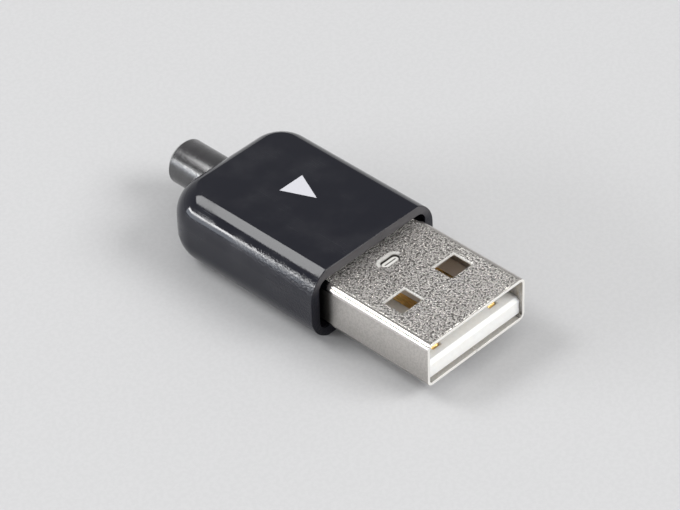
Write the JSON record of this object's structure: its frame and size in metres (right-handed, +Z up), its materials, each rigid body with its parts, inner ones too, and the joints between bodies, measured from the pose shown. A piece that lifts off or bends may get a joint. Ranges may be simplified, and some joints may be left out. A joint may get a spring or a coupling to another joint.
{
  "type": "slim solder-type usb-a plug",
  "caption": "Slim solder-type USB-A plug: folded metal shell with white insulator and gold contacts, black moulded housing with rounded rear corners, and a cable sleeve.",
  "frame": {"origin": "middle of the part's bounding box, on the flat bottom of the housing", "axes": "+Z up from the housing's flat bottom, +Y from the plug's mouth towards the cable sleeve, +X across the plug"},
  "size_m": [0.015, 0.0348, 0.0072],
  "materials": {
    "nickel_sheet": "matt nickel plate with a fine speckled grain, brighter on the folds",
    "white_insulator": "smooth white moulding",
    "gold_contact": "thin gold plate",
    "black_gloss_housing": "polished black moulding with faint scuffs",
    "black_satin_sleeve": "satin black, finely turned"
  },
  "bodies": {
    "root": {"plug_shell": "nickel_sheet", "insulator": "white_insulator", "contact_power": "gold_contact", "contact_data_minus": "gold_contact", "contact_data_plus": "gold_contact", "contact_ground": "gold_contact", "housing": "black_gloss_housing", "cable_sleeve": "black_satin_sleeve"}
  },
  "joints": []
}
